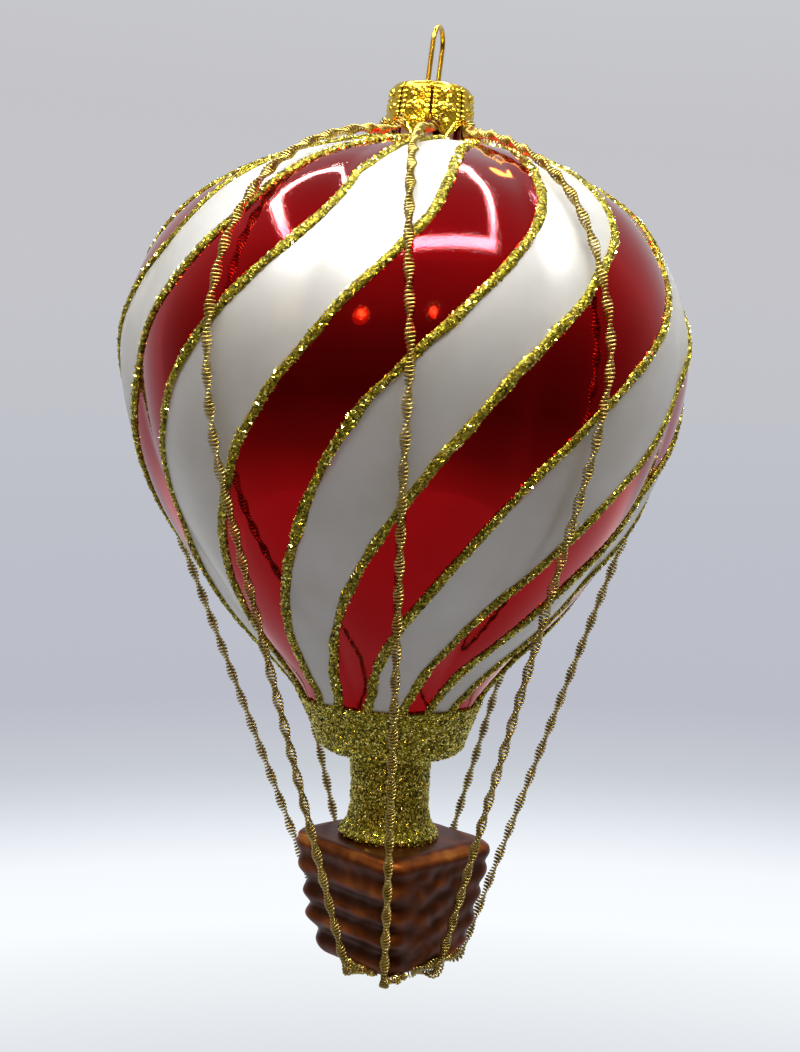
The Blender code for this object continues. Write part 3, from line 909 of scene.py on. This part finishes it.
def add_basket(lacquer):
    """Adds the basket: five rolls on two of its faces and a coarse weave on the other two."""
    outer = smooth_rows(BASKET_ROWS, BASKET_STEPS)
    top = [(BASKET_TOP_LEVEL, radius) for radius in BASKET_TOP_RADII]
    form = turn_rows([*BASKET_INSIDE, *top, *outer, (BASKET_FLOOR_LEVEL, 0.0)], BASKET_SEGMENTS)
    tone_and_painted_shade_layer = form.verts.layers.float.new("relief")
    for vert in form.verts:
        azimuth = azimuth_of(vert.co)
        level = vert.co.z
        radius = vert.co.xy.length
        relief = 0.0
        # Only the side's skin has rolls and weave, not the top, the floor or the inside
        side = level < BASKET_TOP_LEVEL - 0.05 and radius > read_table(BASKET_TAPER, level) - 1.5
        if side and radius > 6.0:
            radius, relief = basket_relief(azimuth, level, radius)
        if radius > BASKET_ROUND_RADIUS:
            radius = square_reach(azimuth, radius)
        brushed = noise.noise(vert.co / BRUSH_LENGTH)
        # A painted highlight along the rim's outer edge
        rim = max(0.0, 1.0 - abs(level - BASKET_RIM_LEVEL)) if radius > BASKET_EDGE_RADIUS else 0.0
        # The tone carries painted shade in the hollows and painted highlight on the rolls and the rim, over
        # the brush streaks
        tone = LACQUER_TONE + RELIEF_PAINTED_SHADE * relief + BRUSH_TONE * brushed + RIM_PAINTED_HIGHLIGHT * rim
        vert[tone_and_painted_shade_layer] = min(1.0, max(0.0, tone))
        vert.co = in_glass(radius + BRUSH_DEPTH * brushed, azimuth, level)
    add_piece("basket_lacquered", form, (lacquer,), ("basket",))


def strand_on_glass(cap_azimuth, glass_azimuth, target):
    """Returns the points of a strand from the cap over the glass, to where it leaves for the target."""
    notch = 360.0 / CAP_PETALS * round(cap_azimuth * CAP_PETALS / 360.0)
    points = [in_glass(radius, notch + aside, level) for radius, aside, level in STRAND_BUNCH]
    for level, radius in OUTLINE:
        if radius < STRAND_FREE_RADIUS:
            continue
        share = max(0.0, 1.0 + level / STRAND_SETTLE)
        azimuth = glass_azimuth + (cap_azimuth - glass_azimuth) * share
        fan = min(1.0, max(0.0, (radius - STRAND_FAN_RADIUS) / STRAND_FAN_REACH))
        azimuth = notch + (azimuth - notch) * fan
        steep = read_table(NORMALS, level)
        reach = lobed(radius, azimuth) + STRAND_LIFT * cos(steep)
        point = in_glass(reach, azimuth, level + STRAND_LIFT * sin(steep))
        if level < STRAND_LEAVES_BELOW:
            along = (point - points[-1]).normalized()
            left = (target - point).normalized()
            if along.cross(left).dot(bearing(azimuth + 90.0)) < 0.0:
                break
        points.append(point)
    return points


def strand_under_basket(azimuth):
    """Returns the points of a strand round the basket's lower edge and in to the glue."""
    edge = square_reach(azimuth, LOWEST_ROLL)
    clear = STRAND_GAP + STRAND_RADIUS
    floor = BASKET_FLOOR_LEVEL - clear
    points = []
    for turn in STRAND_BEND_STOPS:
        out = edge + clear - STRAND_BEND * (1.0 - cos(radians(turn)))
        points.append(in_glass(out, azimuth, floor + STRAND_BEND * (1.0 - sin(radians(turn)))))
    points.append(in_glass(edge + clear - 2 * STRAND_BEND, azimuth, floor))
    points.append(in_glass(STRAND_END_RADIUS, azimuth, floor))
    return points


def evenly_along(points, step):
    """Returns points at even steps along straight lines through the given ones."""
    places = []
    left = 0.0
    for start, end in zip(points, points[1:]):
        length = (end - start).length
        while left < length:
            places.append(start.lerp(end, left / length))
            left += step
        left -= length
    return places


def coil_points(route):
    """Returns the points of a wire wound in a flattened coil that twists along the route."""
    step = COIL_PITCH / COIL_STEPS
    middle = evenly_along(route, step)
    points = []
    tangent = (middle[COIL_STEPS] - middle[0]).normalized()
    across = tangent.orthogonal().normalized()
    for index, centre in enumerate(middle):
        ahead = middle[min(index + COIL_STEPS, len(middle) - 1)]
        behind = middle[max(index - COIL_STEPS, 0)]
        turned = (ahead - behind).normalized()
        across = tangent.rotation_difference(turned) @ across
        tangent = turned
        twist = Quaternion(tangent, pi * index * step / COIL_HALF_TWIST)
        wide = twist @ across
        thin = tangent.cross(wide)
        phase = 2 * pi * index / COIL_STEPS
        points.append(centre + COIL_HALF_WIDTH * cos(phase) * wide + COIL_HALF_THICKNESS * sin(phase) * thin)
    return points


def add_wire(name, points, radius, roundness, finish, replaced, body="ornament"):
    """Adds a wire through points given in millimetres, as a mesh; roundness 0 gives it four sides."""
    curve = bpy.data.curves.new(name, "CURVE")
    curve.dimensions = "3D"
    curve.bevel_depth = radius * MM
    curve.bevel_resolution = roundness
    curve.use_fill_caps = True
    spline = curve.splines.new("POLY")
    spline.points.add(len(points) - 1)
    spline.points.foreach_set("co", [value for point in points for value in (*(point * MM), 1.0)])
    swept = bpy.data.objects.new(name, curve)
    bpy.context.collection.objects.link(swept)
    mesh = bpy.data.meshes.new_from_object(swept.evaluated_get(bpy.context.evaluated_depsgraph_get()))
    mesh.shade_smooth()
    bpy.data.objects.remove(swept)
    return add_object(name, mesh, (finish,), replaced, body)


def add_strands(finish):
    """Adds the strands that hang the basket from the cap."""
    for name, cap_azimuth, glass_azimuth, basket_azimuth in STRANDS:
        under = strand_under_basket(basket_azimuth)
        route = strand_on_glass(cap_azimuth, glass_azimuth, under[0]) + under
        node = f"strand_{name}"
        add_wire(f"{node}_coiled", coil_points(route), COIL_WIRE_RADIUS, 0, finish, (node,))


def add_loose_coils(finish):
    """Adds the ends of coil that were left loose round the basket's edges."""
    for name, places in LOOSE_COILS:
        stops = [
            Vector((square_reach(azimuth, EDGE_HALF_DIAGONAL) + out, azimuth, level))
            for azimuth, level, out in places
        ]
        route = [
            in_glass(*start.lerp(end, step / 8)) for start, end in zip(stops, stops[1:]) for step in range(8)
        ]
        points = coil_points(route + [in_glass(*stops[-1])])
        add_wire(f"loose_coil_{name}", points, COIL_WIRE_RADIUS, 0, finish, ())


def add_glue_clumps(glue, flakes_group):
    """Adds the drops of glue along the basket's lower edge, with the glitter that stuck to them."""
    form = bmesh.new()
    for azimuth, level, out, size in GLUE_CLUMPS:
        place = in_glass(square_reach(azimuth, EDGE_HALF_DIAGONAL) + out, azimuth, level)
        made = bmesh.ops.create_icosphere(form, subdivisions=3, radius=1.0)
        for vert in made["verts"]:
            bulge = 1.0 + GLUE_UNEVENNESS * noise.noise(vert.co * 1.7 + place)
            long, wide, thick = CLUMP_LENGTH * vert.co.x, vert.co.y, CLUMP_THICKNESS * vert.co.z
            vert.co = place + size * bulge * Vector((long, wide, thick))
    clumps = add_piece("glue_clumps_dried", form, (glue,), ())
    strew_flakes(clumps, flakes_group, CLUMP_SEED)


def cap_emboss(aside, depth):
    """Returns the cap's relief in millimetres at a place from -1 to 1 across a panel and down it."""
    from_middle = abs(aside)
    if depth < SHOULDER_DEPTH:
        return -0.1 if from_middle > 0.93 and depth > 0.3 else 0.0
    if from_middle > SEAM_SHARE:
        return -SEAM_SINK
    if from_middle > BARS_START:
        bars = max(0.0, cos(2 * pi * (depth - 0.2) / CAP_BEAD_PITCH))
        return BAR_HEIGHT * bars * sin(pi * (from_middle - BARS_START) / BARS_WIDTH) ** 0.5
    across = aside * PANEL_HALF_WIDTH
    ring = abs(hypot(across, depth - RING_DEPTH) - RING_RADIUS)
    ovals = abs(hypot((abs(across) - OVAL_ASIDE) / OVAL_STRETCH, depth - OVAL_DEPTH) - OVAL_RADIUS)
    stem = hypot(across, max(0.0, abs(depth - STEM_DEPTH) - STEM_HALF_LENGTH))
    lines = max(
        exp(-((ring / RING_LINE) ** 2)), exp(-((ovals / OVAL_LINE) ** 2)), exp(-((stem / STEM_LINE) ** 2))
    )
    dot = exp(-((hypot(across, depth - DOT_DEPTH) / DOT_RADIUS) ** 4))
    from_vein = abs(abs(across) - VEIN_SLANT * (VEIN_END - depth)) if depth > VEIN_START else 1.0
    vein = exp(-((from_vein / VEIN_LINE) ** 2))
    ground = GROUND_HEIGHT * sin(GROUND_FINENESS * across) * sin(GROUND_FINENESS * depth)
    return max(ground, EMBOSS_HEIGHT * lines, EMBOSS_HEIGHT * dot, VEIN_HEIGHT * vein)


def add_cap(gold):
    """Adds the stamped cap: eight panels of beads, rings and ovals that end in petals."""
    outer = smooth_rows(CAP_ROWS[3:], CAP_SIDE_STEPS)
    top = smooth_rows(CAP_ROWS[:4], CAP_TOP_STEPS)
    inner = [(height, radius - CAP_WALL) for height, radius in reversed(CAP_ROWS[3:])]
    inner += [(-CAP_WALL, CAP_INSIDE_TOP_RADIUS), (-CAP_WALL, 0.0)]
    form = turn_rows([(0.0, 0.0)] + top + outer[1:] + inner, CAP_SEGMENTS)
    tone_and_painted_shade_layer = form.verts.layers.float.new("relief")
    for vert in form.verts:
        azimuth = azimuth_of(vert.co)
        radius = vert.co.xy.length
        height = vert.co.z
        aside = (azimuth * CAP_PETALS / 180.0) % 2.0 - 1.0
        petal = max(0.0, (-height - PETAL_START) / (CAP_HEIGHT - PETAL_START))
        notch = PETAL_NOTCH * abs(aside) ** PETAL_CURVE * petal
        outside = radius > read_table(CAP_ROWS[1:], height) - 0.5 * CAP_WALL and height > -CAP_HEIGHT
        relief = cap_emboss(aside, -height) if outside else 0.0
        # Raised relief gets painted highlight and sunk seams get painted shade
        vert[tone_and_painted_shade_layer] = min(1.0, max(0.0, CAP_TONE + CAP_RELIEF_PAINTED_SHADE * relief))
        vert.co = PIVOT + (radius + relief) * bearing(azimuth) + Vector((0.0, 0.0, height + notch))
    add_piece("cap_stamped", form, (gold,), ("cap",))


def add_loop(finish):
    """Adds the wire loop, whose two legs spring apart inside the glass's neck."""
    along = bearing(180.0 - LOOP_TURN_DEG)
    arc_level = WIRE_RADIUS - LOOP_HALF_WIDTH
    legs = [
        (LOOP_HALF_WIDTH + LEG_SPLAY, -LOOP_DROP - LEG_DEPTH),
        (LOOP_HALF_WIDTH + 0.5 * LEG_SPLAY, -LOOP_DROP - 0.5 * LEG_DEPTH),
        (LOOP_HALF_WIDTH, -LOOP_DROP - LEG_STRAIGHT),
        (LOOP_HALF_WIDTH, -LOOP_DROP + LEG_STRAIGHT),
        (LOOP_HALF_WIDTH, 0.5 * (arc_level - LOOP_DROP)),
    ]
    turns = [pi * step / ARC_STEPS for step in range(ARC_STEPS + 1)]
    arc = [(LOOP_HALF_WIDTH * cos(turn), arc_level + LOOP_HALF_WIDTH * sin(turn)) for turn in turns]
    path = legs + arc + [(-aside, height) for aside, height in reversed(legs)]
    points = []
    for aside, height in path:
        lean = PIVOT.x * min(1.0, -height / LOOP_DROP)
        points.append(aside * along + Vector((lean, 0.0, height)))
    add_wire("hanging_loop_drawn", points, WIRE_RADIUS, 6, finish, ("hanging_loop",), "hanger")


def add_glue_dab(glue):
    """Adds the dab of glue that holds the strands' ends under the basket."""
    form = bmesh.new()
    bmesh.ops.create_icosphere(form, subdivisions=4, radius=1.0)
    for vert in form.verts:
        azimuth = azimuth_of(vert.co)
        spread = DAB_RADIUS + GLUE_UNEVENNESS * noise.noise(vert.co * 1.5)
        level = BASKET_FLOOR_LEVEL - DAB_DROP + DAB_HALF_THICKNESS * vert.co.z
        vert.co = in_glass(vert.co.xy.length * spread, azimuth, level)
    add_piece("glue_dab_dried", form, (glue,), ("glue_dab",))


def glowing_material(name):
    """Returns a material that only glows, its node tree and its shader."""
    material = bpy.data.materials.new(name)
    material.use_nodes = True
    tree = material.node_tree
    tree.nodes.clear()
    glow = add_node(tree, "ShaderNodeEmission", {"Strength": 1.0})
    add_node(tree, "ShaderNodeOutputMaterial", {"Surface": glow.outputs[0]})
    return material, tree, glow


def add_backdrop(name, form, material):
    """Adds a form in metres, with its faces turned in, that is no part of the ornament."""
    bmesh.ops.reverse_faces(form, faces=form.faces)
    mesh = bpy.data.meshes.new(name)
    form.to_mesh(mesh)
    form.free()
    mesh.shade_smooth()
    mesh.materials.append(material)
    backdrop = bpy.data.objects.new(name, mesh)
    bpy.context.collection.objects.link(backdrop)
    return backdrop


def add_stage():
    """Adds the pale floor that sweeps up into a wall all round, level in the camera's view. The paper glows,
    with its light and shade painted into the glow's colours.
    """
    sweep = [(STAGE_FLOOR, radius) for radius in FLOOR_RADII]
    for turn in range(5, 91, 5):
        rise = SWEEP_RADIUS * (1 - cos(radians(turn)))
        sweep.append((STAGE_FLOOR + rise, STAGE_RADIUS + SWEEP_RADIUS * sin(radians(turn))))
    form = turn_rows([*sweep, *WALL_ROWS], STAGE_SEGMENTS)
    level = GLASS_LEAN @ Matrix.Rotation(-radians(CAMERA_ROLL_DEG), 3, "Y")
    bmesh.ops.rotate(form, matrix=level, verts=form.verts)
    # The paper glows in painted colours for its light and shade: brightest in a band across the floor, greyer
    # up the wall
    material, tree, glow = glowing_material("seamless_paper_glowing_painted_light")
    place = add_node(tree, "ShaderNodeTexCoord")
    split = add_node(tree, "ShaderNodeSeparateXYZ", {"Vector": place.outputs["Object"]})
    flat = add_node(tree, "ShaderNodeCombineXYZ", {"X": split.outputs["X"], "Y": split.outputs["Y"]})
    out = add_node(tree, "ShaderNodeVectorMath", {0: flat.outputs[0]}, operation="LENGTH")
    floor_colour, _ = spread(tree, out.outputs["Value"], 0.0, WALL_RADIUS, FLOOR_COLOURS)
    wall_colour, up = spread(tree, split.outputs["Z"], WALL_COLOUR_FROM, WALL_COLOUR_TO, WALL_COLOURS)
    mixed = add_node(
        tree, "ShaderNodeMix", {"Factor": up, "A": floor_colour, "B": wall_colour}, data_type="RGBA"
    )
    tree.links.new(mixed.outputs["Result"], glow.inputs["Color"])
    add_backdrop("stage", form, material)


def add_flag():
    """Adds the dim room behind the camera, a studio flag that only the reflections see."""
    rows = [
        (FLAG_RADIUS * sin(radians(rise)) + FLAG_MIDDLE, FLAG_RADIUS * cos(radians(rise)))
        for rise in FLAG_RISES
    ]
    form = turn_rows(rows, FLAG_SEGMENTS)
    turns = [(face, azimuth_of(face.calc_center_median())) for face in form.faces]
    behind = [face for face, azimuth in turns if abs(azimuth - 180.0) < FLAG_OPEN_DEG]
    bmesh.ops.delete(form, geom=behind, context="FACES")
    material, tree, glow = glowing_material("dim_room")
    place = add_node(tree, "ShaderNodeTexCoord")
    split = add_node(tree, "ShaderNodeSeparateXYZ", {"Vector": place.outputs["Object"]})
    side_colour, _ = spread(tree, split.outputs["Y"], -FLAG_RADIUS, FLAG_RADIUS, FLAG_SIDE_COLOURS)
    up_colour, _ = spread(tree, split.outputs["Z"], STAGE_FLOOR, FLAG_COLOURS_TO, FLAG_RISE_COLOURS)
    both = add_node(
        tree,
        "ShaderNodeMix",
        {"Factor": 1.0, "A": side_colour, "B": up_colour},
        data_type="RGBA",
        blend_type="ADD",
    )
    tree.links.new(both.outputs["Result"], glow.inputs["Color"])
    flag = add_backdrop("flag", form, material)
    flag.visible_camera = False


def add_area_light(name, place, look_at, size, radiance, colour=(1.0, 1.0, 1.0), shape="RECTANGLE"):
    """Adds an area light that faces a point, all in metres, as bright as its radiance says."""
    light = bpy.data.lights.new(name, "AREA")
    light.shape = shape
    light.size, light.size_y = size
    light.energy = radiance * pi * size[0] * size[1]
    light.color = colour
    lamp = bpy.data.objects.new(name, light)
    lamp.location = place
    lamp.rotation_euler = (Vector(look_at) - Vector(place)).to_track_quat("-Z", "Y").to_euler()
    lamp.visible_camera = False
    bpy.context.collection.objects.link(lamp)
    return lamp


def link_light(lamp, piece, state):
    """Lets a lamp light only one piece, or all but that piece."""
    receivers = bpy.data.collections.new(f"{lamp.name}_receivers")
    receivers.objects.link(piece)
    lamp.light_linking.receiver_collection = receivers
    receivers.collection_objects[0].light_linking.link_state = state


def add_lights(glass):
    """Adds a ring of light strips over the ornament, a soft panel and the small warm lamps."""
    for number, (x, y, end_x, end_y, width) in enumerate(LAMP_STRIPS):
        size = (hypot(end_x - x, end_y - y) + 0.5 * width, width)
        middle = Vector((0.5 * (x + end_x), 0.5 * (y + end_y), LAMP_FRAME_HEIGHT))
        for name, drop, radiance in (
            ("strip", 0.0, LAMP_STRIP_RADIANCE),
            ("glare", LAMP_FRAME_STEP, LAMP_GLARE_RADIANCE),
            ("glare_on_glass", 2 * LAMP_FRAME_STEP, LAMP_GLARE_ON_GLASS),
        ):
            place = middle - Vector((0.0, 0.0, drop))
            lamp = add_area_light(f"{name}_{number}", place, place + DOWN, size, radiance)
            lamp.rotation_euler.z = atan2(end_y - y, end_x - x)
            lamp.visible_glossy = drop > 0.0
            lamp.visible_diffuse = drop == 0.0
            if drop > 0.0:
                link_light(lamp, glass, "INCLUDE" if name == "glare_on_glass" else "EXCLUDE")
    panel = add_area_light("panel", PANEL_PLACE, PANEL_PLACE + DOWN, PANEL_SIZE, PANEL_RADIANCE)
    panel.visible_glossy = False
    colour = linear(WARM_COLOUR)[:3]
    for number, (azimuth, elevation, width, height, radiance) in enumerate(WARM_LAMPS):
        rise = radians(elevation)
        away = bearing(azimuth) * cos(rise) + Vector((0.0, 0.0, sin(rise)))
        place = WARM_LAMPS_FACE + away * (WARM_LAMP_DISTANCE - WARM_LAMP_STEP * number)
        size = (width, height)
        lamp = add_area_light(f"warm_{number}", place, WARM_LAMPS_FACE, size, radiance, colour, "ELLIPSE")
        lamp.visible_diffuse = False


def add_camera():
    """Adds the camera at the photograph's viewing angle."""
    pitch = radians(CAMERA_PITCH_DEG)
    back = Vector((0.0, -cos(pitch), sin(pitch)))
    level_up = back.cross(Vector((1.0, 0.0, 0.0)))
    roll = radians(CAMERA_ROLL_DEG)
    right = cos(roll) * Vector((1.0, 0.0, 0.0)) + sin(roll) * level_up
    up = back.cross(right)
    axes = GLASS_LEAN @ Matrix((right, up, back)).transposed()
    data = bpy.data.cameras.new("camera")
    data.lens = CAMERA_LENS
    data.clip_start = 0.01
    camera = bpy.data.objects.new("camera", data)
    place = PIVOT + GLASS_LEAN @ (CAMERA_TARGET + CAMERA_DISTANCE * back)
    camera.matrix_world = Matrix.Translation(place * MM) @ axes.to_4x4()
    bpy.context.collection.objects.link(camera)
    bpy.context.scene.camera = camera


def dress():
    """Makes every piece of the ornament with its finish, and returns the envelope."""
    glue = glitter_glue()
    flakes = scatter_group(gold_flakes())
    glass = add_envelope(white_lacquer(), red_lacquer())
    add_glitter_lines(glue, flakes)
    add_coated("glitter_cup_strewn", "glitter_cup", CUP_ROWS, glue, flakes, CUP_SEED)
    add_coated("burner_column_strewn", "burner_column", COLUMN_ROWS, glue, flakes, COLUMN_SEED)
    add_basket(brown_lacquer())
    crimped = brass_wire("crimped_gilt_wire", "#bfaa60", "#988237", 0.32)
    add_strands(crimped)
    add_loose_coils(crimped)
    add_cap(gold_tinplate())
    add_loop(brass_wire("drawn_gilt_wire", "#e6c45c", "#b8901e", 0.18))
    amber = amber_glue()
    add_glue_dab(amber)
    add_glue_clumps(amber, flakes)
    return glass


add_camera()
glass = dress()
add_stage()
add_flag()
add_lights(glass)
bpy.context.scene.view_settings.view_transform = "Standard"
bpy.context.view_layer.update()
